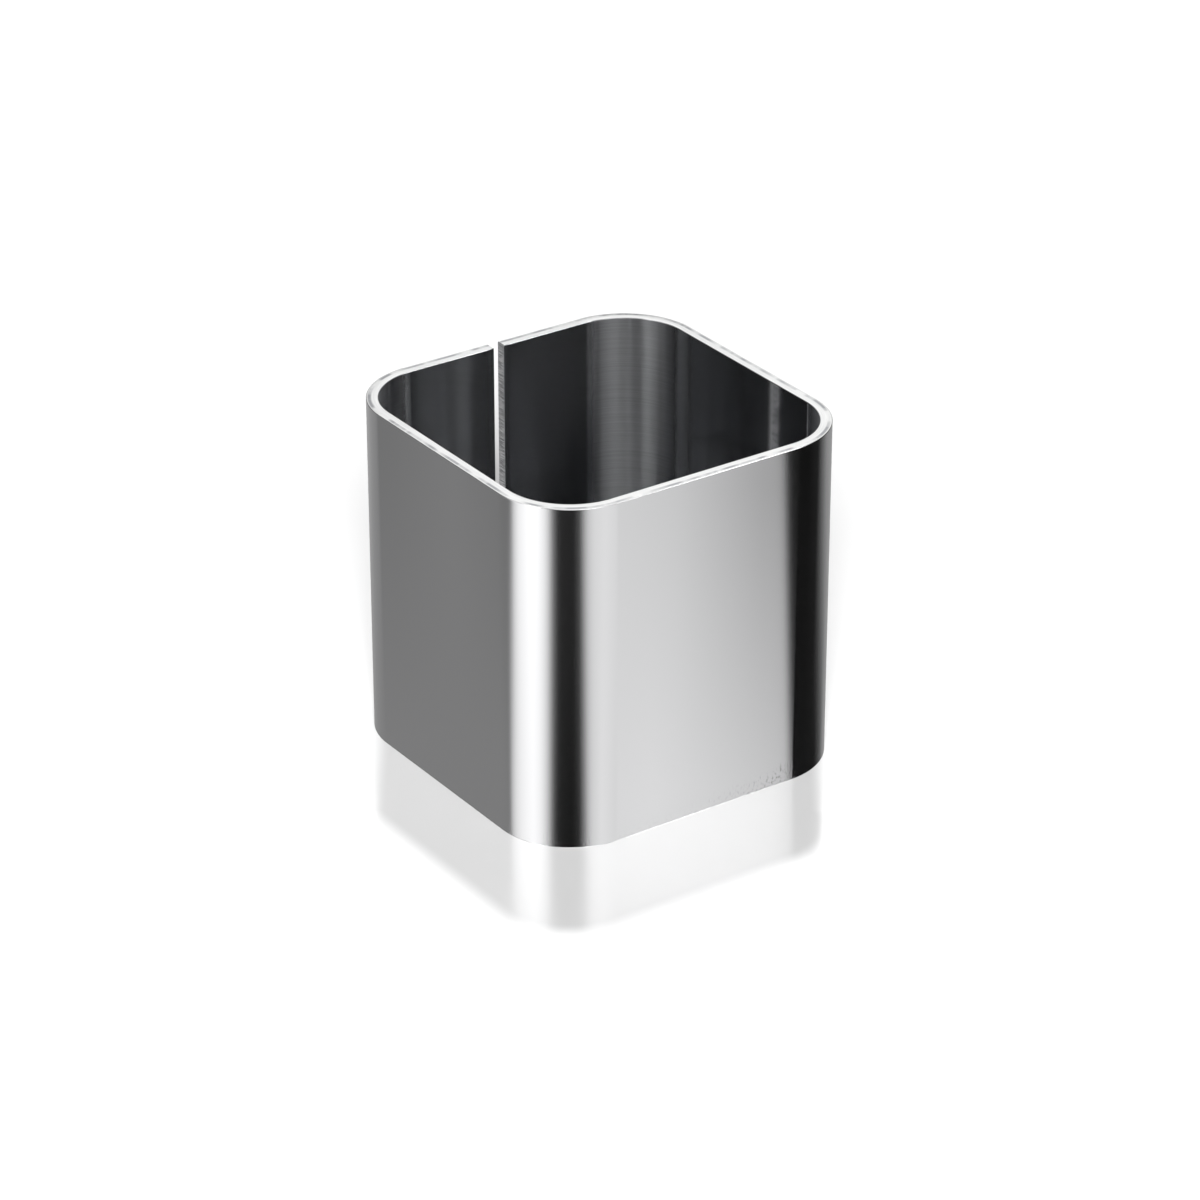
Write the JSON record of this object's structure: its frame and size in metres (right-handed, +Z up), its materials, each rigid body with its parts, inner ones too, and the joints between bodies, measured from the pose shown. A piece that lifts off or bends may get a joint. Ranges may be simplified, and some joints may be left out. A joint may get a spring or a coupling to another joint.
{
  "type": "napkin holder",
  "caption": "Square napkin ring bent from a polished steel strip, open above and below, with a narrow butt joint in its back side.",
  "frame": {"origin": "middle of the ring, on the plane of the edge that it stands on", "axes": "+Z up, across the strip from the edge it stands on to the open top; the butt joint is in the middle of the +Y side; X and Y run square to the four flat sides"},
  "size_m": [0.046, 0.046, 0.045],
  "materials": {
    "polished_steel": "polished"
  },
  "bodies": {
    "root": {"steel_band": "polished_steel"}
  },
  "joints": []
}
